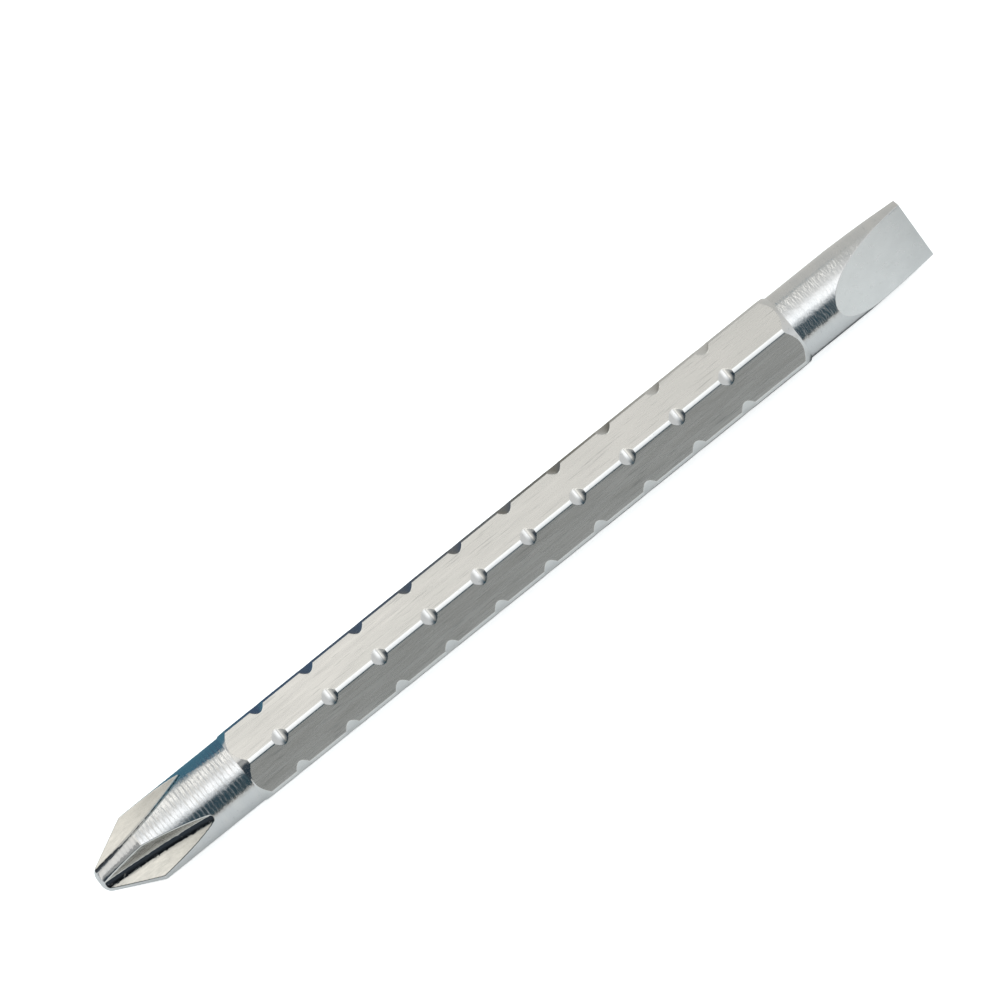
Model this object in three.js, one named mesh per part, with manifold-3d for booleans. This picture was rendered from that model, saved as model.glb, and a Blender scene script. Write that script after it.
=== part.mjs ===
// Double-ended screwdriver blade: one length of hexagonal steel bar with a cross
// point turned and milled on one end and a hollow-ground slotted tip on the other.
// Rings of notches across the hexagon's corners let a handle's detent hold it.
// Millimetres and degrees, +Z up. The blade lies along X on one flat of its hexagon,
// with the cross point towards -X, and the origin under the middle of its length.
import * as THREE from "three";
import { mergeVertices } from "three/addons/utils/BufferGeometryUtils.js";
import Module from "manifold-3d";

const wasm = await Module();
wasm.setup();

// Driving dimensions
const overallLength = 83;
const hexAcrossFlats = 6.35;
const cornerTrim = 0.106; // turned off each sharp corner of the hexagon

// Cross end
const crossEndLength = 14.36; // nose to the hexagon's shoulder
const crossShankStep = 0.06; // shank surface below the hexagon's flats
const crossPointAngle = 53; // included angle of the point's cone
const noseFlatDiameter = 0.62;
const noseRadius = 1; // rounding between the nose flat and the cone
const crossShoulderAngle = 30;
const crossTurn = 16.5; // from +Y to the first wing, 1.5 past a flute in line with a ground face

// Flutes of the cross point, milled by a disc cutter with a narrow flat rim and sloping sides, which
// runs in a straight line from the nose and is then lifted out
const fluteCount = 4;
const fluteAngle = 118; // between the two walls
const fluteFloorWidth = 0.6;
const fluteFloor = 0.955; // from the blade's axis to the floor, at the nose
const fluteSlope = 7.5; // of the floor away from the axis
const fluteStraight = 0.7; // from the nose to the place where the cutter lifts
const fluteCutterRadius = 61;

// Notches, one ring at each station along the hexagon
const notchPitch = 5.035;
const firstNotch = 3.94; // from the cross end's shoulder to the first ring
const notchEndMargin = 5; // least hexagon left bare before the slotted end's shoulder
const notchDepth = 0.225;
const notchToolRadius = 1.1;

// Slotted end
const slotEndLength = 12.8; // hexagon's shoulder to the tip's end face
const slotShankStep = 0.155; // shank surface below the hexagon's flats
const slotShoulderAngle = 35;
const tipWidth = 5.5;
const tipThickness = 1.12;
const tipTaperLength = 6.7; // over which the shank draws in to the tip's width
const grindLength = 9.05;
const grindWheelRadius = 31;
const slotTurn = 150; // from +Y to the normal of one ground face, in line with a flat's

// Fineness of the facets
const turnedSegments = 48;
const noseSteps = 5;
const notchSteps = 5;
const cutterSegments = 240;
const wheelSegments = 180;
const overrun = 1; // how far a cutter or the bar stock passes the finished surface
const mergeReach = 1e-5; // vertices closer than this are one

// Sizes that follow from those above
const rad = THREE.MathUtils.degToRad;
const hexSides = 6;
const flatRadius = hexAcrossFlats / 2;
const sharpCornerRadius = flatRadius / Math.cos(Math.PI / hexSides);
const landRadius = sharpCornerRadius - cornerTrim;
const crossShankRadius = flatRadius - crossShankStep;
const slotShankRadius = flatRadius - slotShankStep;
const slotShoulder = overallLength - slotEndLength;
const hexLength = slotShoulder - crossEndLength;
const notchCount = Math.floor((hexLength - firstNotch - notchEndMargin) / notchPitch) + 1;
const tipRadius = Math.hypot(tipWidth / 2, tipThickness / 2);

// A geometry as a solid: its shared vertices merged, and the empty faces at a lathe's poles left out.
function solidOf(geometry) {
  const bare = geometry.clone();
  bare.deleteAttribute("normal");
  bare.deleteAttribute("uv");
  const merged = mergeVertices(bare, mergeReach);
  const index = merged.index.array;
  const faces = [];
  for (let i = 0; i < index.length; i += 3) {
    const [a, b, c] = index.slice(i, i + 3);
    if (a !== b && b !== c && c !== a) faces.push(a, b, c);
  }
  return new wasm.Manifold(
    new wasm.Mesh({
      numProp: 3,
      vertProperties: merged.attributes.position.array,
      triVerts: new Uint32Array(faces),
    }),
  );
}

function geometryOf(solid) {
  const mesh = solid.getMesh();
  const geometry = new THREE.BufferGeometry();
  geometry.setAttribute("position", new THREE.BufferAttribute(mesh.vertProperties, 3));
  geometry.setIndex(new THREE.BufferAttribute(mesh.triVerts, 1));
  geometry.computeVertexNormals();
  return geometry;
}

// Round nose: an arc from the nose flat until it runs tangent into the cone.
function nosePoints() {
  const coneSlope = rad(crossPointAngle / 2);
  const points = [];
  for (let i = 0; i <= noseSteps; i++) {
    const turn = ((Math.PI / 2 - coneSlope) * i) / noseSteps;
    points.push([noseRadius * (1 - Math.cos(turn)), noseFlatDiameter / 2 + noseRadius * Math.sin(turn)]);
  }
  const [lastStation, lastRadius] = points.at(-1);
  points.push([lastStation + (crossShankRadius - lastRadius) / Math.tan(coneSlope), crossShankRadius]);
  return points;
}

// One ring of notches in section: the round nose of the tool that turned it.
function notchPoints(station) {
  const reach = Math.acos(1 - notchDepth / notchToolRadius);
  const points = [];
  for (let i = 0; i <= notchSteps; i++) {
    const turn = reach * ((2 * i) / notchSteps - 1);
    const rise = notchToolRadius * (1 - Math.cos(turn));
    points.push([station + notchToolRadius * Math.sin(turn), landRadius - notchDepth + rise]);
  }
  return points;
}

// The turned outline as stations from the nose and radii, both ends on the axis.
function turnedOutline() {
  const crossRise = (landRadius - crossShankRadius) / Math.tan(rad(crossShoulderAngle));
  const slotFall = (landRadius - slotShankRadius) / Math.tan(rad(slotShoulderAngle));
  const outline = [[0, 0], ...nosePoints()];
  outline.push([crossEndLength, crossShankRadius], [crossEndLength + crossRise, landRadius]);
  for (let k = 0; k < notchCount; k++) {
    outline.push(...notchPoints(crossEndLength + firstNotch + k * notchPitch));
  }
  outline.push([slotShoulder - slotFall, landRadius], [slotShoulder, slotShankRadius]);
  outline.push([overallLength - tipTaperLength, slotShankRadius]);
  outline.push([overallLength, tipRadius], [overallLength, 0]);
  return outline;
}

// Turned envelope, its lathe axis laid along X with the nose at the left.
function turnedEnvelope() {
  const points = turnedOutline().map(([station, radius]) => new THREE.Vector2(radius, station));
  const geometry = new THREE.LatheGeometry(points, turnedSegments);
  return geometry.rotateZ(-Math.PI / 2);
}

// Hexagonal bar stock along X, a corner at +Y and a flat underneath.
function barStock() {
  const hexagon = new THREE.Shape();
  for (let k = 0; k < hexSides; k++) {
    const turn = (2 * Math.PI * k) / hexSides;
    const corner = [-sharpCornerRadius * Math.sin(turn), sharpCornerRadius * Math.cos(turn)];
    if (k === 0) hexagon.moveTo(...corner);
    else hexagon.lineTo(...corner);
  }
  const depth = overallLength + 2 * overrun;
  const geometry = new THREE.ExtrudeGeometry(hexagon, { depth, bevelEnabled: false });
  return geometry.rotateY(Math.PI / 2).translate(-overrun, 0, 0);
}

// Rim of the flute's cutter in section: across the flute and out from its floor.
function rimPoints() {
  const bite = crossShankRadius - fluteFloor + overrun;
  const halfFloor = fluteFloorWidth / 2;
  const halfWidth = halfFloor + bite * Math.tan(rad(fluteAngle / 2));
  return [[-halfWidth, bite], [-halfFloor, 0], [halfFloor, 0], [halfWidth, bite]];
}

// Space swept by the cutter of one flute, at the given turn about X: the groove of its straight run,
// and the whole disc where it is lifted out.
function fluteCutter(turn) {
  const rim = rimPoints();
  const [halfWidth] = rim.at(-1);
  const run = fluteStraight / Math.cos(rad(fluteSlope)) + overrun;
  const section = new THREE.Shape(rim.map(([across, out]) => new THREE.Vector2(-out, across)));
  const straight = new THREE.ExtrudeGeometry(section, { depth: run, bevelEnabled: false });
  straight.rotateY(Math.PI / 2).translate(-run, 0, 0);
  const outline = rim.map(([across, out]) => new THREE.Vector2(fluteCutterRadius - out, across));
  outline.unshift(new THREE.Vector2(0, -halfWidth));
  outline.push(new THREE.Vector2(0, halfWidth));
  const disc = new THREE.LatheGeometry(outline, cutterSegments).translate(0, 0, fluteCutterRadius);
  const liftFloor = fluteFloor + fluteStraight * Math.tan(rad(fluteSlope));
  const [straightSolid, discSolid] = [straight, disc].map((geometry) => {
    geometry.rotateY(-rad(fluteSlope)).translate(fluteStraight, 0, liftFloor);
    return solidOf(geometry.rotateX(rad(turn - 90)));
  });
  return straightSolid.add(discSolid);
}

// Grinding wheel of one face of the slotted tip. Its rim passes through the end of the tip at
// half the tip's thickness, and through the shank's surface where the ground face begins.
function grindWheel(turn) {
  const start = new THREE.Vector2(overallLength - grindLength, slotShankRadius);
  const end = new THREE.Vector2(overallLength, tipThickness / 2);
  const chord = end.clone().sub(start);
  const outward = new THREE.Vector2(-chord.y, chord.x).normalize();
  const rise = Math.sqrt(grindWheelRadius ** 2 - chord.lengthSq() / 4);
  const centre = start.add(end).multiplyScalar(0.5).addScaledVector(outward, rise);
  const width = 2 * (slotShankRadius + overrun);
  const wheel = new THREE.CylinderGeometry(grindWheelRadius, grindWheelRadius, width, wheelSegments);
  return wheel.translate(centre.x, 0, centre.y).rotateX(rad(turn - 90));
}

// The blade: bar stock turned to its envelope, four flutes milled, two faces ground.
function bladeGeometry() {
  let blade = solidOf(barStock()).intersect(solidOf(turnedEnvelope()));
  for (let k = 0; k < fluteCount; k++) {
    const betweenWings = crossTurn + (360 / fluteCount) * (k + 0.5);
    blade = blade.subtract(fluteCutter(betweenWings));
  }
  for (const turn of [slotTurn, slotTurn + 180]) {
    blade = blade.subtract(solidOf(grindWheel(turn)));
  }
  return geometryOf(blade);
}

const platedSteel = new THREE.MeshStandardMaterial({
  color: 0xcfcfcd,
  metalness: 1,
  roughness: 0.3,
});

const blade = new THREE.Mesh(bladeGeometry(), platedSteel);
blade.name = "blade";
blade.position.set(-overallLength / 2, 0, flatRadius);

const screwdriverBlade = new THREE.Group();
screwdriverBlade.add(blade);

export default screwdriverBlade;
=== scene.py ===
import bpy
import math
import numpy as np
from mathutils import Matrix, Vector


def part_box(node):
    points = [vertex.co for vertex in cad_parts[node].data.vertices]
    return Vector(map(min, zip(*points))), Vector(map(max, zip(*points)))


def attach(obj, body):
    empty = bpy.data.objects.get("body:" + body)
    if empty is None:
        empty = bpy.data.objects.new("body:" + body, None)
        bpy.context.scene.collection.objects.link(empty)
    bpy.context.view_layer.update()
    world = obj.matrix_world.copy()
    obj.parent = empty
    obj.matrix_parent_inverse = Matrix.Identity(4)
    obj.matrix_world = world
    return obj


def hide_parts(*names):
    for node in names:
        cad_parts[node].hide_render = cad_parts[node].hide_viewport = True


# Looks of a double-ended screwdriver blade: plated steel bar, cross point to -X, slotted tip to +X.
# Dictionaries are in millimetres and degrees, the scene is in metres.
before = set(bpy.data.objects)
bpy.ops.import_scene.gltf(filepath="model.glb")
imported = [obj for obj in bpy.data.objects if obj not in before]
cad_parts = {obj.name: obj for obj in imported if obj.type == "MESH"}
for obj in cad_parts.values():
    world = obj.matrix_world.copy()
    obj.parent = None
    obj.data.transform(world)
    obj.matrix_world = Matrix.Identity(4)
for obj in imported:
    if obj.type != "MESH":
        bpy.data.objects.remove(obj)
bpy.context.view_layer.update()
bladeLow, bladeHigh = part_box("blade")
mm = 0.001
print("frame loaded, nodes:", ", ".join(sorted(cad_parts)))

scene = bpy.context.scene
scene.view_settings.view_transform = "Standard"


# Camera, square to the blade's length apart from a slight lean, rolled so that the blade runs uphill
cameraView = {
    "elevation": 58.5,  # above the table, seen along the blade
    "lean": 3.2,  # towards the cross point
    "roll": 38.85,
    "distance": 800,
    "frameWidth": 79.36,  # width of the picture at the blade
    "moveRight": -0.564,  # from the blade's middle to the picture's centre
    "moveUp": 4.269,
    "sensor": 36,
}


def makeCamera(view, middle):
    elevation, lean, roll = [math.radians(view[name]) for name in ("elevation", "lean", "roll")]
    back = Vector((0, -math.cos(elevation), math.sin(elevation))) * math.cos(lean)
    back.x = -math.sin(lean)
    along = (Vector((1, 0, 0)) + back * math.sin(lean)).normalized()
    across = back.cross(along)
    right = along * math.cos(roll) - across * math.sin(roll)
    up = along * math.sin(roll) + across * math.cos(roll)
    target = middle + (right * view["moveRight"] + up * view["moveUp"]) * mm
    place = Matrix((right, up, back)).transposed().to_4x4()
    place.translation = target + back * view["distance"] * mm
    data = bpy.data.cameras.new("photoCamera")
    data.sensor_width = view["sensor"]
    data.lens = view["sensor"] * view["distance"] / view["frameWidth"]
    camera = bpy.data.objects.new("photoCamera", data)
    camera.matrix_world = place
    scene.collection.objects.link(camera)
    scene.camera = camera


makeCamera(cameraView, (bladeLow + bladeHigh) / 2)
print("camera placed")


# Blade sizes, with stations measured from the nose along the axis
blade = {
    "length": (bladeHigh.x - bladeLow.x) / mm,
    "flatRadius": (bladeHigh.z - bladeLow.z) / 2 / mm,
    "landRadius": (bladeHigh.y - bladeLow.y) / 2 / mm,
    "crossEnd": 14.36,  # nose to the hexagon's shoulder
    "crossStep": 0.06,  # cross shank below the flats
    "crossShoulder": 30,
    "pointAngle": 53,
    "noseFlat": 0.62,
    "noseRadius": 1.0,
    "fluteAngle": 118,  # between a flute's walls
    "fluteFloorWidth": 0.6,
    "fluteFloor": 0.955,  # from the axis to the floor at the nose
    "fluteSlope": 7.5,
    "fluteStraight": 0.7,  # cutter runs straight to here, then lifts out
    "fluteCutter": 61,
    "fluteRound": 0.03,  # how far the round at the floor's edges fills them
    "fluteEnd": 10.6,  # past the place where the flutes have run out
    "notchPitch": 5.035,
    "firstNotch": 18.3,
    "notchCount": 10,
    "notchDepth": 0.225,
    "notchTool": 1.1,
    "slotEnd": 12.8,
    "slotStep": 0.155,
    "slotShoulder": 35,
    "tipWidth": 5.5,
    "tipThickness": 1.12,
    "taperLength": 6.7,
    "grindLength": 9.05,
    "grindWheel": 31,
    "grindMargin": 0.5,  # before the ground face, where the wheel is still clear of the shank
    "ringPitch": 0.366,  # lathe feed on the cross shank
    "ringDepth": 0.014,
    "slotRingPitch": 0.21,
    "slotRingDepth": 0.002,
    "edgeRound": 0.06,  # half width of the round on every edge
    "roundLimits": (1e-4, 0.1),  # least and greatest depth over which two faces are blended
    "rimWear": 0.08,  # half width of the wear on the turned rims
}
blade["crossRadius"] = blade["flatRadius"] - blade["crossStep"]
blade["slotRadius"] = blade["flatRadius"] - blade["slotStep"]
blade["slotShoulderAt"] = blade["length"] - blade["slotEnd"]
blade["grindStart"] = blade["length"] - blade["grindLength"]
blade["taperStart"] = blade["length"] - blade["taperLength"]
blade["tipRadius"] = np.hypot(blade["tipWidth"], blade["tipThickness"]) / 2

# Sectors round the axis, angles from +Y towards +Z: half width, angle of the first sector's edge, and
# the columns of half a sector as shares of a flat floor, on the rest of its cut face and on its turned
# rest, with four more over the crease
sectors = {
    "hex": {"half": 30, "edge": 0, "floor": [], "cut": 4, "rest": 4, "least": 8},
    "cross": {"half": 45, "edge": 16.5, "floor": [0, 0.5, 0.9], "cut": 6, "rest": 5, "least": 6},
    "slot": {"half": 90, "edge": 60, "floor": [], "cut": 14, "rest": 18, "least": 12},
}
columnCount = 144
creaseColumns = 4
floorLimit = 0.6  # greatest share of a cut face that a flat floor takes
wallStart = 1.1  # first column on a flute's wall, as a share of the floor's half width
creaseHalvings = 36
creaseLimit = 0.999  # share of a sector's half width in which its crease is looked for


def smoothStep(value, low, high):
    share = np.clip((value - low) / (high - low), 0, 1)
    return share * share * (3 - 2 * share)


# Outline corners of the turned body: end of the nose arc, then straight runs between these
def turnedCorners():
    slope = np.radians(blade["pointAngle"] / 2)
    arcAt = blade["noseRadius"] * (1 - np.sin(slope))
    arcRadius = blade["noseFlat"] / 2 + blade["noseRadius"] * np.cos(slope)
    coneAt = arcAt + (blade["crossRadius"] - arcRadius) / np.tan(slope)
    crossRise = (blade["landRadius"] - blade["crossRadius"]) / np.tan(np.radians(blade["crossShoulder"]))
    slotFall = (blade["landRadius"] - blade["slotRadius"]) / np.tan(np.radians(blade["slotShoulder"]))
    stations = [arcAt, coneAt, blade["crossEnd"], blade["crossEnd"] + crossRise]
    stations += [blade["slotShoulderAt"] - slotFall, blade["slotShoulderAt"]]
    stations += [blade["taperStart"], blade["length"]]
    radii = [arcRadius] + [blade["crossRadius"]] * 2 + [blade["landRadius"]] * 2
    radii += [blade["slotRadius"]] * 2 + [blade["tipRadius"]]
    return np.array(stations), np.array(radii)


# Distance to the nearest ring of notches
def notchOffset(s):
    ring = np.round((s - blade["firstNotch"]) / blade["notchPitch"])
    ring = np.clip(ring, 0, blade["notchCount"] - 1)
    return s - blade["firstNotch"] - ring * blade["notchPitch"]


# Lathe feed: how far the marks wander from even spacing and how their depth swells. Rates are per
# millimetre, in radians.
feed = {
    "wander": 0.8,
    "wanderRate": 1.7,
    "level": 0.72,
    "swell": 0.28,
    "swellRates": (2.9, 4.7),
    "swellShift": 0.6,
    "crossFrom": (0.9, 3),  # stations over which the marks begin behind the nose
    "fade": 0.2,  # length over which they end at a shoulder
}


# Feed marks: a rounded ridge per turn of the bar, its depth swelling and fading with two slow waves
def feedMarks(s, pitch, depth):
    phase = 2 * np.pi * s / pitch + feed["wander"] * np.sin(feed["wanderRate"] * s)
    ridge = 0.5 + 0.5 * np.cos(phase)
    first, second = feed["swellRates"]
    swell = feed["level"] + feed["swell"] * np.sin(first * s) * np.cos(second * s + feed["swellShift"])
    return depth * swell * ridge


# Turned radius: straight runs between the outline's corners, a circular arc at the nose, a circular
# groove of the notch tool at each ring, less the feed marks on both shanks
def turnedRadius(s):
    stations, radii = turnedCorners()
    radius = np.interp(s, stations, radii)
    noseTurn = np.arccos(np.clip(1 - s / blade["noseRadius"], -1, 1))
    noseArc = blade["noseFlat"] / 2 + blade["noseRadius"] * np.sin(noseTurn)
    radius = np.where(s < stations[0], noseArc, radius)
    reach = np.clip(notchOffset(s) / blade["notchTool"], -1, 1)
    groove = blade["landRadius"] - blade["notchDepth"] + blade["notchTool"] * (1 - np.sqrt(1 - reach**2))
    radius = np.minimum(radius, groove)
    crossRings = smoothStep(s, *feed["crossFrom"])
    crossRings = crossRings * (1 - smoothStep(s, blade["crossEnd"] - feed["fade"], blade["crossEnd"]))
    slotRings = smoothStep(s, blade["slotShoulderAt"], blade["slotShoulderAt"] + feed["fade"])
    radius = radius - crossRings * feedMarks(s, blade["ringPitch"], blade["ringDepth"])
    return radius - slotRings * feedMarks(s, blade["slotRingPitch"], blade["slotRingDepth"])


# Flat of the hexagon in polar form: flat radius over the cosine of the angle from its normal
def flatRadius(turn, s):
    return blade["flatRadius"] / np.cos(turn) + 0 * s


# Distance of a flute's floor from the axis: a straight slope, then the rim of the disc that lifts out
def floorHeight(s):
    slope = np.radians(blade["fluteSlope"])
    disc = blade["fluteCutter"]
    liftFloor = blade["fluteFloor"] + blade["fluteStraight"] * np.tan(slope)
    x = s - blade["fluteStraight"] + disc * np.sin(slope)
    lifted = liftFloor + disc * np.cos(slope) - np.sqrt(np.maximum(disc**2 - x**2, 0))
    straight = blade["fluteFloor"] + s * np.tan(slope)
    return np.where(s < blade["fluteStraight"], straight, lifted)


# Flute in polar form: the floor's distance over the cosine of the turn, or the wall where that is
# further out, rounded where they meet. With h half the floor's width, k the cotangent of the walls' half
# angle and c the cosine of the slope, the wall is (floor - h k / c) / (cos turn - k sin turn / c) on the
# straight run. Beyond it the wall is the side of the disc, whose middle is at height q, so the radius r
# solves (q - r cos turn)^2 + x^2 = (disc radius + h k - k r sin turn)^2.
def fluteRadius(turn, s):
    slope = np.radians(blade["fluteSlope"])
    k = 1 / np.tan(np.radians(blade["fluteAngle"] / 2))
    side = np.abs(np.sin(turn)) * k
    half = blade["fluteFloorWidth"] / 2
    disc = blade["fluteCutter"]
    floor = floorHeight(s)
    straight = (floor - half * k / np.cos(slope)) / (np.cos(turn) - side / np.cos(slope))
    x = s - blade["fluteStraight"] + disc * np.sin(slope)
    q = floorHeight(np.float64(blade["fluteStraight"])) + disc * np.cos(slope)
    a = np.cos(turn) ** 2 - side**2
    b = q * np.cos(turn) - (disc + half * k) * side
    c = q**2 + x**2 - (disc + half * k) ** 2
    lifted = (b - np.sqrt(np.maximum(b**2 - a * c, 0))) / a
    wall = np.where(s < blade["fluteStraight"], straight, lifted)
    bottom = floor / np.cos(turn)
    radius = (bottom + wall) / 2 + np.hypot((bottom - wall) / 2, blade["fluteRound"])
    return np.where(s < blade["fluteEnd"], radius, 2 * blade["landRadius"])


# Hollow ground face in polar form: the wheel's rim is a circle along the axis, through the tip's half
# thickness and the shank's surface, and its height over the cosine of the turn is the radius
def groundRadius(turn, s):
    start = np.array([blade["grindStart"], blade["slotRadius"]])
    end = np.array([blade["length"], blade["tipThickness"] / 2])
    chord = end - start
    span = np.hypot(*chord)
    rise = np.sqrt(blade["grindWheel"] ** 2 - span**2 / 4)
    centre = (start + end) / 2 + np.array([-chord[1], chord[0]]) / span * rise
    x = np.clip((s - centre[0]) / blade["grindWheel"], -1, 1)
    height = centre[1] - blade["grindWheel"] * np.sqrt(1 - x**2)
    beyond = 2 * blade["landRadius"]
    return np.where(s > blade["grindStart"] - blade["grindMargin"], height / np.cos(turn), beyond)


cutFaces = {"hex": flatRadius, "cross": fluteRadius, "slot": groundRadius}


# Crease: turn from the middle of a cut face at which it reaches the turned surface, found by halving
def creaseTurn(name, s, rim):
    low = np.zeros_like(s)
    high = np.full_like(s, np.radians(sectors[name]["half"]) * creaseLimit)
    for halving in range(creaseHalvings):
        middle = (low + high) / 2
        outside = cutFaces[name](middle, s) > rim
        high = np.where(outside, middle, high)
        low = np.where(outside, low, middle)
    return (low + high) / 2


# Columns of every row for one kind of sector: shares of a flat floor, even steps over the rest of the
# cut face, a close cluster on its crease, even steps over the turned rest, mirrored and repeated round
def sectorColumns(name, s, rim):
    sector = sectors[name]
    half = np.radians(sector["half"])
    close = blade["edgeRound"] / np.maximum(rim, blade["fluteFloor"])
    crease = np.maximum(creaseTurn(name, s, rim), np.radians(sector["least"]))
    crease = np.minimum(crease, half - 2 * close)[:, None]
    inner = crease - close[:, None]
    outer = crease + close[:, None]
    floorEdge = np.arctan2(blade["fluteFloorWidth"] / 2, floorHeight(s))[:, None]
    floorEdge = np.minimum(floorEdge, floorLimit * inner)
    floor = floorEdge * np.array(sector["floor"])[None, :]
    start = wallStart * floorEdge if sector["floor"] else 0 * floorEdge
    near = np.minimum(cutFaces[name](start, s[:, None]), rim[:, None])
    far = np.minimum(cutFaces[name](inner, s[:, None]), rim[:, None])
    share = np.linspace(0, 1, sector["cut"] + 1)[None, :]
    sideways = near * np.sin(start) + share * (far * np.sin(inner) - near * np.sin(start))
    outward = near * np.cos(start) + share * (far * np.cos(inner) - near * np.cos(start))
    cut = np.arctan2(sideways, outward)
    cluster = inner + (outer - inner) * np.linspace(0, 1, creaseColumns + 1)[None, 1:]
    rest = outer + (half - outer) * np.linspace(0, 1, sector["rest"] + 1)[None, 1:]
    positive = np.concatenate([floor, cut, cluster, rest], axis=1)
    whole = np.concatenate([-positive[:, :0:-1], positive[:, :-1]], axis=1) + half
    edge = np.radians(sector["edge"])
    copies = round(180 / sector["half"])
    turns = np.concatenate([edge + 2 * half * k + whole for k in range(copies)], axis=1)
    kept = columnCount - round(sector["edge"] / 360 * columnCount)
    return np.concatenate([turns[:, kept:] - 2 * np.pi, turns[:, :kept]], axis=1)


# Turn from the middle of the nearest cut face of one kind
def turnFromMiddle(name, theta):
    half = np.radians(sectors[name]["half"])
    return np.mod(theta - np.radians(sectors[name]["edge"]), 2 * half) - half


# Rows along the blade: counts, and distances from a bend or a run-out
rowPlan = {
    "noseArc": 16,
    "noseEnd": 8,
    "ringsFrom": 1,  # station where the rows begin to follow the feed marks
    "perRing": 5,
    "runOut": (-0.7, -0.2, 20),  # before the flutes' end
    "lip": 0.03,  # either side of a bend
    "shoulder": 10,
    "apex": (-0.02, 0.08, 7),  # about the place where a flat runs out on its shoulder
    "notch": 13,
    "hexagon": 45,
    "grindEdge": (-0.03, 0.18, 9),  # about the place where the ground faces begin
    "ground": (0.2, -0.04, 80),  # past that place, and before the tip's end
    "least": 0.008,
    "digits": 4,
}


# Stations of the rows: closer where the outline bends, where a crease runs out and on the feed marks
def rowStations():
    corners = turnedCorners()[0]
    reach = np.sqrt(blade["notchTool"] ** 2 - (blade["notchTool"] - blade["notchDepth"]) ** 2)
    rings = blade["firstNotch"] + blade["notchPitch"] * np.arange(blade["notchCount"])
    notchTurn = np.linspace(-1, 1, rowPlan["notch"]) * np.arcsin(reach / blade["notchTool"])
    rim = reach + np.array([-1, 1]) * rowPlan["lip"]
    acrossNotch = np.concatenate([np.sin(notchTurn) * blade["notchTool"], rim, -rim])
    lip = np.array([-1, 0, 1]) * rowPlan["lip"]
    noseTurn = np.linspace(0, np.radians(90 - blade["pointAngle"] / 2), rowPlan["noseArc"])
    crossFlat = blade["crossEnd"] + blade["crossStep"] / np.tan(np.radians(blade["crossShoulder"]))
    slotFlat = blade["slotShoulderAt"] - blade["slotStep"] / np.tan(np.radians(blade["slotShoulder"]))
    apex = np.linspace(*rowPlan["apex"])
    pastGrind, beforeEnd, groundRows = rowPlan["ground"]
    parts = [
        blade["noseRadius"] * (1 - np.cos(noseTurn)),
        np.linspace(corners[0], rowPlan["ringsFrom"], rowPlan["noseEnd"]),
        np.arange(rowPlan["ringsFrom"], blade["crossEnd"], blade["ringPitch"] / rowPlan["perRing"]),
        blade["fluteEnd"] + np.linspace(*rowPlan["runOut"]),
        (corners[1:-1, None] + lip).ravel(),
        crossFlat + apex,
        np.linspace(corners[2], corners[3], rowPlan["shoulder"]),
        slotFlat - apex,
        np.linspace(corners[4], corners[5], rowPlan["shoulder"]),
        (rings[:, None] + acrossNotch).ravel(),
        np.linspace(corners[3], corners[4], rowPlan["hexagon"]),
        np.arange(corners[5], blade["grindStart"], blade["slotRingPitch"] / rowPlan["perRing"]),
        blade["grindStart"] + np.linspace(*rowPlan["grindEdge"]),
        np.linspace(blade["grindStart"] + pastGrind, blade["length"] + beforeEnd, groundRows),
    ]
    stations = np.unique(np.concatenate(parts).round(rowPlan["digits"]))
    apart = np.concatenate([[True], np.diff(stations) > rowPlan["least"]])
    return stations[apart]


# Area of each quad times its normal, from the cross product of its diagonals, shared to its corners
def gridNormals(points):
    ahead = np.roll(points, -1, axis=1)
    faces = np.cross(ahead[1:] - points[:-1], points[1:] - ahead[:-1])
    faces = faces + np.roll(faces, 1, axis=1)
    normals = np.zeros_like(points)
    normals[:-1] += faces
    normals[1:] += faces
    normals[0] = normals[0].sum(axis=0)
    normals[-1] = normals[-1].sum(axis=0)
    return normals / np.linalg.norm(normals, axis=2, keepdims=True)


# Dark painted shade on the flutes' floors. In the flute that faces up it draws in from the edges.
paintedShadePlan = {
    "atEdge": 0.75,  # strength at the floor's edge
    "fades": (2, 0.5),  # loss over half a floor's width, sharp on one side and ragged on the other
    "thinnedFrom": (1.5, 4),  # stations over which the drawing in begins
    "thinnedAbove": (0.6, 0.8),  # sine of the angle round the axis over which it begins
    "thinnedShare": 0.7,  # of half the floor's width
}


# Strength of the painted shade: falls evenly with the distance from the middle of the floor, on each side
# at its own rate, and is nothing outside a flute
def paintedFloorShade(s, theta, radius, rim):
    turn = turnFromMiddle("cross", theta)
    sideways = np.abs(np.sin(turn)) * radius / (blade["fluteFloorWidth"] / 2)
    inFlute = fluteRadius(turn, s[:, None]) < rim[:, None]
    thinned = smoothStep(s, *paintedShadePlan["thinnedFrom"])[:, None]
    thinned = thinned * smoothStep(np.sin(theta), *paintedShadePlan["thinnedAbove"])
    inside = 1 - paintedShadePlan["thinnedShare"] * thinned - sideways
    fade = np.where(turn < 0, *paintedShadePlan["fades"])
    return np.clip(paintedShadePlan["atEdge"] + fade * inside, 0, 1) * inFlute


# Rows that close both ends, as shares of the end row's radius
capShares = {"nose": [0, 0.5, 0.92], "tip": [0.985, 0.93, 0.55, 0]}
noseRows = slice(None, len(capShares["nose"]))
tipRows = slice(-len(capShares["tip"]), None)


# A grid with copies of its first and last rows for the caps
def withCaps(grid):
    nose = np.repeat(grid[:1], len(capShares["nose"]), axis=0)
    tip = np.repeat(grid[-1:], len(capShares["tip"]), axis=0)
    return np.concatenate([nose, grid, tip])


# Stretches where the columns change over: from the flutes' to the hexagon's, before the flutes' end and
# before the shoulder, and from the hexagon's to the ground faces', past the shoulder and before those
changeOver = {"flutes": (0.5, 0.1), "ground": (0.15, 0.1)}
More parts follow.
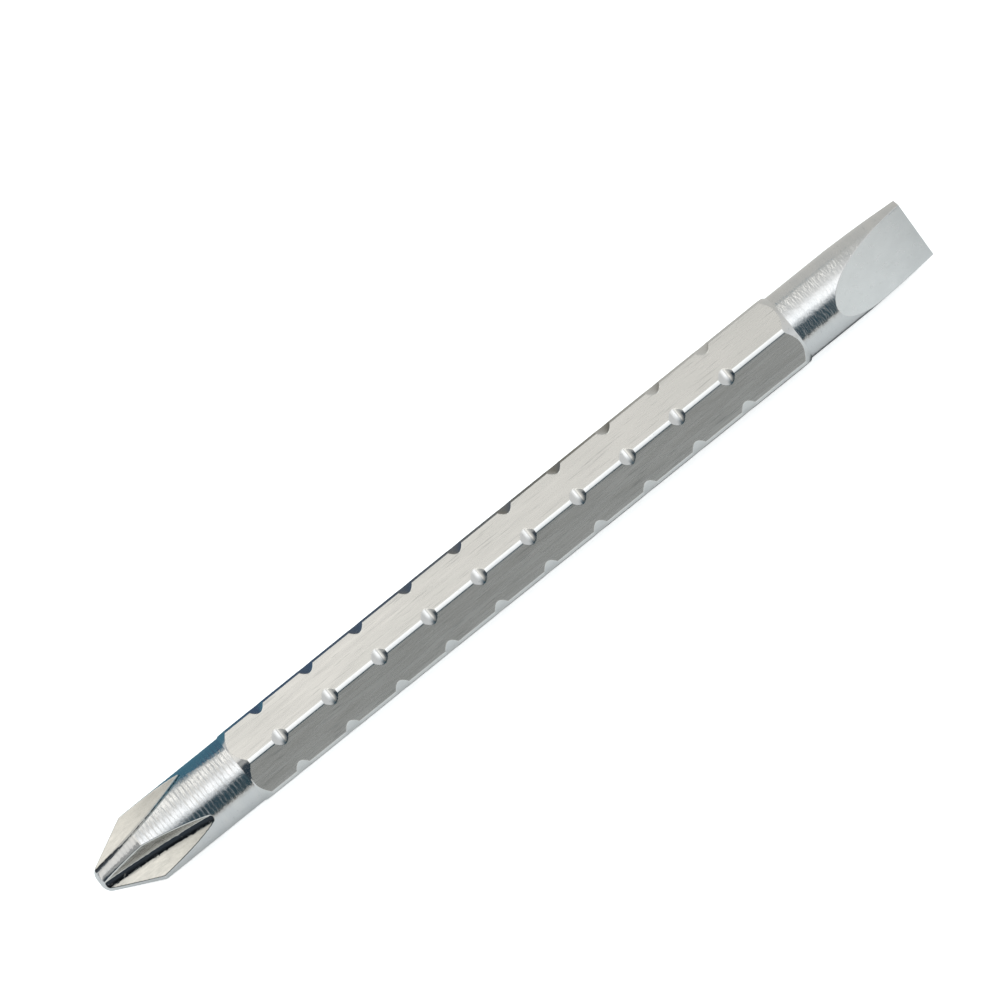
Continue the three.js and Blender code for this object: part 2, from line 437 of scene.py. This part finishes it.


# Whole surface as radius over station and turn: the smaller of the turned radius and the cut faces,
# rounded where they meet, with a flat cap at each end. Gives points, stations, what is cut, edge wear and
# the strength of the painted shade on the floors.
def bladeSurface():
    s = rowStations()
    rim = turnedRadius(s)
    columns = {name: sectorColumns(name, s, rim) for name in sectors}
    leave, arrive = changeOver["flutes"]
    crossShare = 1 - smoothStep(s, blade["fluteEnd"] - leave, blade["crossEnd"] - arrive)[:, None]
    leave, arrive = changeOver["ground"]
    slotShare = smoothStep(s, blade["slotShoulderAt"] + leave, blade["grindStart"] - arrive)[:, None]
    theta = columns["hex"] + crossShare * (columns["cross"] - columns["hex"])
    theta = theta + slotShare * (columns["slot"] - columns["hex"])
    radius = rim[:, None] + 0 * theta
    worn = np.zeros_like(theta)
    isCut = np.zeros_like(theta)
    step = 0.001
    for name, cutFace in cutFaces.items():
        crease = creaseTurn(name, s, rim)
        steepness = (cutFace(crease + step, s) - cutFace(crease, s)) / step
        width = np.clip(steepness * blade["edgeRound"] / rim, *blade["roundLimits"])[:, None]
        cut = cutFace(turnFromMiddle(name, theta), s[:, None])
        meet = np.clip(1 - np.abs(cut - rim[:, None]) / width, 0, 1)
        isCut = np.maximum(isCut, cut < rim[:, None])
        worn = np.maximum(worn, meet)
        radius = np.minimum(radius, cut) - width / 4 * meet**2
    cornerAt = turnedCorners()[0]
    rimGap = np.abs(s[:, None] - cornerAt[None, [1, 3, 4]]).min(axis=1)
    rimWear = np.clip(1 - rimGap / blade["rimWear"], 0, 1)[:, None] * (1 - isCut)
    worn = np.maximum(worn, rimWear)
    shade = paintedFloorShade(s, theta, radius, rim)
    stations, radius, theta, worn, shade, isCut = map(withCaps, (s, radius, theta, worn, shade, isCut))
    radius[noseRows] *= np.array(capShares["nose"])[:, None]
    radius[tipRows] *= np.array(capShares["tip"])[:, None]
    shade[noseRows] = 0
    shade[tipRows] = 0
    isCut[noseRows] = 0
    isCut[tipRows] = 1
    stations[noseRows] = 0
    stations[tipRows] = blade["length"]
    y = radius * np.cos(theta)
    z = radius * np.sin(theta) + blade["flatRadius"]
    x = (stations - blade["length"] / 2)[:, None] + 0 * theta
    return np.stack([x, y, z], axis=2) * mm, stations, isCut, worn, shade


finishes = ["drawnFlat", "turnedShank", "milledFlute", "groundFace", "platedEdge"]


# Finish of each quad, from what cut it and where along the blade it lies
def quadFinish(stations, isCut):
    cut = isCut + np.roll(isCut, -1, axis=1)
    cut = (cut[1:] + cut[:-1]) > 2
    s = ((stations[1:] + stations[:-1]) / 2)[:, None] + 0 * cut
    onHex = (s > blade["crossEnd"]) & (s < blade["slotShoulderAt"])
    finish = np.where(onHex, finishes.index("platedEdge"), finishes.index("turnedShank"))
    finish = np.where(cut & onHex, finishes.index("drawnFlat"), finish)
    finish = np.where(cut & (s < blade["crossEnd"]), finishes.index("milledFlute"), finish)
    return np.where(cut & (s > blade["slotShoulderAt"]), finishes.index("groundFace"), finish)


# Mesh of the surface: quads between the rows, a fan of triangles at each end, a finish for each face
def makeBlade(materials):
    points, stations, isCut, worn, shade = bladeSurface()
    normals = gridNormals(points)
    finish = quadFinish(stations, isCut)
    rows = len(stations)
    inside = slice(1, rows - 1)
    vertices = np.concatenate([points[0, :1], points[inside].reshape(-1, 3), points[-1, :1]])
    vertexNormals = np.concatenate([normals[0, :1], normals[inside].reshape(-1, 3), normals[-1, :1]])
    marksAndShade = {"edgeWear": worn, "paintedFloorShade": shade}
    number = 1 + np.arange((rows - 2) * columnCount).reshape(rows - 2, columnCount)
    ahead = np.roll(number, -1, axis=1)
    quads = np.stack([number[:-1], ahead[:-1], ahead[1:], number[1:]], axis=2).reshape(-1, 4)
    last = len(vertices) - 1
    noseFan = np.stack([0 * number[0], ahead[0], number[0]], axis=1)
    tipFan = np.stack([number[-1], ahead[-1], 0 * number[-1] + last], axis=1)
    mesh = bpy.data.meshes.new("steelBlade")
    mesh.from_pydata(vertices.tolist(), [], quads.tolist() + noseFan.tolist() + tipFan.tolist())
    for name in finishes:
        mesh.materials.append(materials[name])
    index = np.concatenate([finish[1:-1].ravel(), finish[0], finish[-1]]).astype(np.int32)
    mesh.polygons.foreach_set("material_index", index)
    mesh.polygons.foreach_set("use_smooth", np.ones(len(index), dtype=bool))
    for name, mark in marksAndShade.items():
        values = np.concatenate([mark[0, :1], mark[inside].ravel(), mark[-1, :1]])
        attribute = mesh.attributes.new(name, "FLOAT", "POINT")
        attribute.data.foreach_set("value", values.astype(np.float32))
    mesh.normals_split_custom_set_from_vertices(vertexNormals.tolist())
    mesh.update()
    piece = bpy.data.objects.new("steelBlade", mesh)
    scene.collection.objects.link(piece)
    print("blade surface:", rows, "rows,", len(index), "faces")
    return piece


# Node shorthand: sockets are wired, anything else is set on the input
def addNode(tree, kind, inputs, **settings):
    node = tree.nodes.new("ShaderNode" + kind)
    for name, value in settings.items():
        setattr(node, name, value)
    for name, value in inputs.items():
        if isinstance(value, bpy.types.NodeSocket):
            tree.links.new(value, node.inputs[name])
        else:
            node.inputs[name].default_value = value
    return node


# Noise with its grain stretched: one length for each axis, in millimetres
def grain(tree, position, lengths, detail):
    scale = [1 / (length * mm) for length in lengths]
    stretched = addNode(tree, "Mapping", {"Vector": position, "Scale": scale}).outputs["Vector"]
    noise = addNode(tree, "TexNoise", {"Vector": stretched, "Scale": 1.0, "Detail": detail})
    return noise.outputs["Fac"]


# One range carried over to another, where the first is by default what a noise mostly covers
def spread(tree, value, low, high, fromLow=0.3, fromHigh=0.7):
    limits = {"Value": value, "From Min": fromLow, "From Max": fromHigh, "To Min": low, "To Max": high}
    return addNode(tree, "MapRange", limits).outputs["Result"]


# Share from 0 to 1 between two places in millimetres
def between(tree, place, ends):
    return spread(tree, place, 0, 1, *[end * mm for end in ends])


def product(tree, first, second):
    return addNode(tree, "Math", {0: first, 1: second}, operation="MULTIPLY").outputs[0]


# Colour mix of two tints, each a socket or a value
def tintMix(tree, share, first, second):
    mix = addNode(tree, "Mix", {"Factor": share}, data_type="RGBA")
    for name, tint in (("A", first), ("B", second)):
        socket = next(entry for entry in mix.inputs if entry.name == name and entry.type == "RGBA")
        if isinstance(tint, bpy.types.NodeSocket):
            tree.links.new(tint, socket)
        else:
            socket.default_value = tint
    return next(entry for entry in mix.outputs if entry.type == "RGBA")


# Colour ramp over a share from 0 to 1, where low and high are the stops' places for 0 and 1
def colourRamp(tree, share, stops, low, high):
    ramp = addNode(tree, "ValToRGB", {"Fac": share})
    elements = ramp.color_ramp.elements
    while len(elements) < len(stops):
        elements.new(1.0)
    for element, (place, colour) in zip(elements, stops):
        element.position = (place - low) / (high - low)
        element.color = (*colour, 1)
    return ramp.outputs["Color"]


grainDetail = {"patch": 3.0, "streak": 3.0, "speck": 1.0, "mark": 2.0}


# Plated steel: colour drifts between two tints over the patches, marks and the painted shade on the
# flutes' floors darken it where their noise and that shade pass a limit, streaks give roughness and bump,
# specks a finer bump, edges are worn brighter
def platedSteel(name, look):
    material = bpy.data.materials.new(name)
    material.use_nodes = True
    tree = material.node_tree
    shader = tree.nodes["Principled BSDF"]
    shader.inputs["Metallic"].default_value = 1.0
    position = addNode(tree, "TexCoord", {}).outputs["Object"]
    grains = {kind: grain(tree, position, look[kind], detail) for kind, detail in grainDetail.items()}
    patches = spread(tree, grains["patch"], 0, 1)
    wear = addNode(tree, "Attribute", {}, attribute_name="edgeWear").outputs["Fac"]
    # painted shade on the flutes' floors
    shade = addNode(tree, "Attribute", {}, attribute_name="paintedFloorShade").outputs["Fac"]
    markedAndShaded = addNode(tree, "Math", {0: grains["mark"], 1: shade}, operation="ADD")
    marksAndShade = spread(tree, markedAndShaded.outputs[0], 0, 1, *look["markAndShadeFrom"])
    tint = tintMix(tree, patches, (*look["tint"], 1), (*look["otherTint"], 1))
    tint = tintMix(tree, marksAndShade, tint, (*look["markAndShadeTint"], 1))
    tint = tintMix(tree, wear, tint, (*look["wornTint"], 1))
    tree.links.new(tint, shader.inputs["Base Color"])
    tree.links.new(spread(tree, grains["streak"], *look["roughness"]), shader.inputs["Roughness"])
    coarse = {"Height": grains["streak"], "Strength": 1.0, "Distance": look["streakDepth"] * mm}
    coarseBump = addNode(tree, "Bump", coarse).outputs["Normal"]
    fine = {"Height": grains["speck"], "Strength": 1.0, "Distance": look["speckDepth"] * mm}
    fineBump = addNode(tree, "Bump", {**fine, "Normal": coarseBump}).outputs["Normal"]
    tree.links.new(fineBump, shader.inputs["Normal"])
    return material


# Looks of the finishes: tints, then grain lengths along X, Y and Z and depths in millimetres
looks = {
    "drawnFlat": {
        "tint": (0.615, 0.605, 0.59),
        "otherTint": (0.57, 0.565, 0.55),
        "markAndShadeTint": (0.47, 0.47, 0.46),
        "wornTint": (0.7, 0.7, 0.69),
        "roughness": (0.22, 0.3),
        "patch": (7, 2, 2),
        "streak": (4, 0.35, 0.35),
        "streakDepth": 0.002,
        "speck": (0.5, 0.12, 0.12),
        "speckDepth": 0.0006,
        "mark": (2.6, 0.16, 0.16),
        "markAndShadeFrom": (0.6, 0.72),
    },
    "turnedShank": {
        "tint": (0.63, 0.63, 0.63),
        "otherTint": (0.58, 0.59, 0.6),
        "markAndShadeTint": (0.5, 0.51, 0.52),
        "wornTint": (0.7, 0.7, 0.69),
        "roughness": (0.12, 0.2),
        "patch": (1, 3, 3),
        "streak": (0.22, 0.5, 0.5),
        "streakDepth": 0.018,
        "speck": (0.15, 0.2, 0.2),
        "speckDepth": 0.003,
        "mark": (0.15, 0.5, 0.5),
        "markAndShadeFrom": (0.64, 0.76),
    },
    "milledFlute": {
        "tint": (0.65, 0.64, 0.61),
        "otherTint": (0.57, 0.56, 0.535),
        # near black: the painted shade on the flutes' floors
        "markAndShadeTint": (0.035, 0.042, 0.052),
        "wornTint": (0.7, 0.7, 0.68),
        "roughness": (0.14, 0.24),
        "patch": (1.6, 0.8, 0.8),
        "streak": (2.2, 0.16, 0.16),
        "streakDepth": 0.007,
        "speck": (0.3, 0.15, 0.15),
        "speckDepth": 0.001,
        "mark": (0.3, 0.22, 0.22),
        "markAndShadeFrom": (1.19, 1.31),
    },
    "groundFace": {
        "tint": (0.72, 0.735, 0.735),
        "otherTint": (0.68, 0.695, 0.695),
        "markAndShadeTint": (0.66, 0.675, 0.67),
        "wornTint": (0.68, 0.68, 0.67),
        "roughness": (0.26, 0.36),
        "patch": (1.6, 1.2, 1.2),
        "streak": (0.7, 0.5, 0.5),
        "streakDepth": 0.003,
        "speck": (0.2, 0.2, 0.2),
        "speckDepth": 0.001,
        "mark": (0.5, 0.3, 0.3),
        "markAndShadeFrom": (0.62, 0.75),
    },
    "platedEdge": {
        "tint": (0.66, 0.66, 0.655),
        "otherTint": (0.62, 0.625, 0.63),
        "markAndShadeTint": (0.52, 0.53, 0.54),
        "wornTint": (0.7, 0.7, 0.69),
        "roughness": (0.12, 0.2),
        "patch": (2, 1, 1),
        "streak": (0.4, 0.3, 0.3),
        "streakDepth": 0.001,
        "speck": (0.2, 0.2, 0.2),
        "speckDepth": 0.0005,
        "mark": (0.2, 0.2, 0.2),
        "markAndShadeFrom": (0.66, 0.76),
    },
}
materials = {name: platedSteel(name, look) for name, look in looks.items()}
steelBlade = makeBlade(materials)
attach(steelBlade, "root")
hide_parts("blade")


# Pale table. Its glow is for the camera alone, so that the picture keeps only a faint shadow. In the
# steel's reflections alone the table is painted darker towards its front and has a painted shadow under
# the blade.
table = {
    "halfSize": 2000,
    "drop": 0.02,  # below the blade, so that the two faces don't coincide
    "white": (0.9, 0.95, 0.96),
    "dim": (0.7, 0.7, 0.675),
    "dimFrom": (-10, -80),  # along Y
    "shadow": (0.22, 0.24, 0.25),
    "shadowAside": (3.3, 2.7),  # edge of the shadow, either side of the axis
    "shadowAlong": (-34, 28),  # no shadow beside the point, full shadow beside the slotted tip
    "glow": 0.6,
}


def palePaper(values):
    material = bpy.data.materials.new("palePaper")
    material.use_nodes = True
    tree = material.node_tree
    shader = tree.nodes["Principled BSDF"]
    shader.inputs["Roughness"].default_value = 1.0
    shader.inputs["Specular IOR Level"].default_value = 0.0
    shader.inputs["Emission Color"].default_value = (1, 1, 1, 1)
    path = addNode(tree, "LightPath", {})
    glow = product(tree, path.outputs["Is Camera Ray"], values["glow"])
    tree.links.new(glow, shader.inputs["Emission Strength"])
    place = addNode(tree, "SeparateXYZ", {"Vector": addNode(tree, "TexCoord", {}).outputs["Object"]})
    aside = addNode(tree, "Math", {0: place.outputs["Y"]}, operation="ABSOLUTE").outputs[0]
    front = between(tree, place.outputs["Y"], values["dimFrom"])
    under = between(tree, aside, values["shadowAside"])
    under = product(tree, under, between(tree, place.outputs["X"], values["shadowAlong"]))
    # for reflections alone: painted darker towards the front, and a painted shadow under the blade
    mirrored = path.outputs["Is Glossy Ray"]
    tint = tintMix(tree, product(tree, front, mirrored), (*values["white"], 1), (*values["dim"], 1))
    tint = tintMix(tree, product(tree, under, mirrored), tint, (*values["shadow"], 1))
    tree.links.new(tint, shader.inputs["Base Color"])
    return material


def makeTable(values):
    side = values["halfSize"] * mm
    drop = values["drop"] * mm
    corners = [(-side, -side, -drop), (side, -side, -drop), (side, side, -drop), (-side, side, -drop)]
    mesh = bpy.data.meshes.new("table")
    mesh.from_pydata(corners, [], [(0, 1, 2, 3)])
    mesh.materials.append(palePaper(values))
    piece = bpy.data.objects.new("table", mesh)
    scene.collection.objects.link(piece)


makeTable(table)
print("table laid")

# Glowing card leaning away behind the blade, a painted reflection seen only in the steel's reflections:
# blue beside the cross point, dark beside the first notches, warm grey beside the slotted tip. It casts
# no shadow and lights nothing.
card = {
    "ends": (-38, 80),  # along X
    "foot": (7, 0.3),  # forward edge, as Y and Z
    "head": (72, 46),
    "stops": [
        (-29, (0.085, 0.215, 0.3)),
        (-23, (0.07, 0.12, 0.2)),
        (-8, (0.1, 0.125, 0.165)),
        (9, (0.25, 0.24, 0.21)),
        (20, (0.62, 0.61, 0.57)),
        (32, (0.71, 0.705, 0.67)),
    ],
}


def makePaintedReflectionCard(values):
    left, right = values["ends"]
    corners = [(left, *values["foot"]), (right, *values["foot"])]
    corners += [(right, *values["head"]), (left, *values["head"])]
    mesh = bpy.data.meshes.new("card")
    mesh.from_pydata((np.array(corners) * mm).tolist(), [], [(0, 1, 2, 3)])
    material = bpy.data.materials.new("paintedReflectionCard")
    material.use_nodes = True
    tree = material.node_tree
    place = addNode(tree, "SeparateXYZ", {"Vector": addNode(tree, "TexCoord", {}).outputs["Object"]})
    share = between(tree, place.outputs["X"], values["ends"])
    colour = colourRamp(tree, share, values["stops"], left, right)
    glow = addNode(tree, "Emission", {"Color": colour})
    tree.links.new(glow.outputs["Emission"], tree.nodes["Material Output"].inputs["Surface"])
    mesh.materials.append(material)
    piece = bpy.data.objects.new("card", mesh)
    piece.visible_camera = False
    piece.visible_diffuse = False
    piece.visible_shadow = False
    scene.collection.objects.link(piece)


makePaintedReflectionCard(card)
print("card set up")

# Studio round the blade's long axis: zones by the direction's share along +X, each a list of brightness
# by angle above the front of the table. Between two zones the studio blends from one to the next.
darkFront = [(0, (0.31, 0.3, 0.27)), (8, (0.05, 0.07, 0.08)), (42, (0.05, 0.07, 0.08))]
paleBack = [(147, (0.8, 0.8, 0.78)), (200, (1, 1, 0.97))]
studio = {
    "turn": (-90, 270),  # angles at the two ends of every list
    "zones": [
        {
            "along": -0.75,
            "stops": [
                (0, (0.3, 0.32, 0.33)),
                (8, (0.03, 0.05, 0.07)),
                (64, (0.03, 0.05, 0.07)),
                (69, (0.5, 0.51, 0.5)),
                (80, (0.5, 0.51, 0.5)),
                (86, (0.16, 0.17, 0.18)),
                (92, (1.12, 1.11, 1.07)),
                (136, (1.2, 1.17, 1.1)),
                (147, (0.55, 0.57, 0.58)),
                (200, (0.5, 0.53, 0.55)),
            ],
        },
        {
            "along": -0.42,
            "stops": [
                *darkFront,
                (56, (0.86, 0.85, 0.8)),
                (90, (0.86, 0.85, 0.8)),
                (108, (0.6, 0.59, 0.56)),
                (136, (0.6, 0.59, 0.56)),
                *paleBack,
            ],
        },
        {
            "along": -0.31,
            "stops": [
                *darkFront,
                (56, (1.6, 1.57, 1.48)),
                (90, (1.6, 1.57, 1.48)),
                (108, (0.95, 0.935, 0.88)),
                (136, (0.95, 0.935, 0.88)),
                *paleBack,
            ],
        },
        {
            "along": -0.24,
            "stops": [
                *darkFront,
                (56, (1.15, 1.14, 1.09)),
                (76, (1.15, 1.14, 1.09)),
                (100, (1.65, 1.62, 1.53)),
                (136, (1.65, 1.62, 1.53)),
                *paleBack,
            ],
        },
        {
            "along": -0.15,
            "stops": [
                *darkFront,
                (58, (0.9, 0.91, 0.9)),
                (84, (0.85, 0.85, 0.83)),
                (98, (0.66, 0.65, 0.62)),
                (136, (0.66, 0.65, 0.62)),
                (147, (0.62, 0.62, 0.6)),
                (200, (0.55, 0.57, 0.57)),
            ],
        },
        {
            "along": 0,
            "stops": [
                (0, (0.25, 0.23, 0.195)),
                (7, (0.03, 0.09, 0.12)),
                (43, (0.03, 0.09, 0.13)),
                (66, (1.9, 1.93, 1.95)),
                (78, (1.85, 1.86, 1.88)),
                (87, (1.25, 1.25, 1.25)),
                (100, (1.45, 1.44, 1.39)),
                (118, (2.1, 2.06, 1.96)),
                (136, (1.95, 1.91, 1.81)),
                (147, (0.08, 0.2, 0.29)),
                (200, (0.05, 0.14, 0.22)),
            ],
        },
        {
            "along": 0.075,
            "stops": [
                (0, (0.17, 0.175, 0.17)),
                (8, (0.04, 0.07, 0.085)),
                (42, (0.05, 0.08, 0.1)),
                (66, (1.7, 1.74, 1.75)),
                (84, (1.6, 1.62, 1.61)),
                (98, (0.94, 0.95, 0.94)),
                (120, (0.72, 0.73, 0.715)),
                (145, (0.69, 0.69, 0.655)),
                (170, (0.68, 0.69, 0.65)),
                (200, (0.84, 0.86, 0.85)),
            ],
        },
        {
            "along": 0.5,
            "stops": [
                (0, (0.98, 1.0, 1.01)),
                (18, (0.9, 0.93, 0.95)),
                (35, (0.8, 0.82, 0.83)),
                (95, (0.85, 0.85, 0.83)),
                (200, (0.62, 0.62, 0.6)),
            ],
        },
    ],
    "soft": 1.0,  # plain level for everything but mirror reflections
}


def makeStudio(values):
    world = bpy.data.worlds.new("studio")
    scene.world = world
    world.use_nodes = True
    world.cycles.sampling_method = "NONE"
    tree = world.node_tree
    background = tree.nodes["Background"]
    direction = addNode(tree, "TexCoord", {}).outputs["Generated"]
    part = addNode(tree, "SeparateXYZ", {"Vector": direction})
    front = product(tree, part.outputs["Y"], -1.0)
    angle = addNode(tree, "Math", {0: part.outputs["Z"], 1: front}, operation="ARCTAN2")
    turned = {0: angle.outputs[0], 1: 1 / (2 * np.pi), 2: -values["turn"][0] / 360}
    turned = addNode(tree, "Math", turned, operation="MULTIPLY_ADD")
    share = addNode(tree, "Math", {0: turned.outputs[0]}, operation="FRACT").outputs[0]
    zones = values["zones"]
    around = colourRamp(tree, share, zones[0]["stops"], *values["turn"])
    for near, far in zip(zones, zones[1:]):
        side = spread(tree, part.outputs["X"], 0, 1, near["along"], far["along"])
        around = tintMix(tree, side, around, colourRamp(tree, share, far["stops"], *values["turn"]))
    path = addNode(tree, "LightPath", {})
    soft = (values["soft"],) * 3
    mirrored = tintMix(tree, path.outputs["Is Glossy Ray"], (*soft, 1), around)
    tree.links.new(mirrored, background.inputs["Color"])
    background.inputs["Strength"].default_value = 1.0


makeStudio(studio)
print("studio lit")
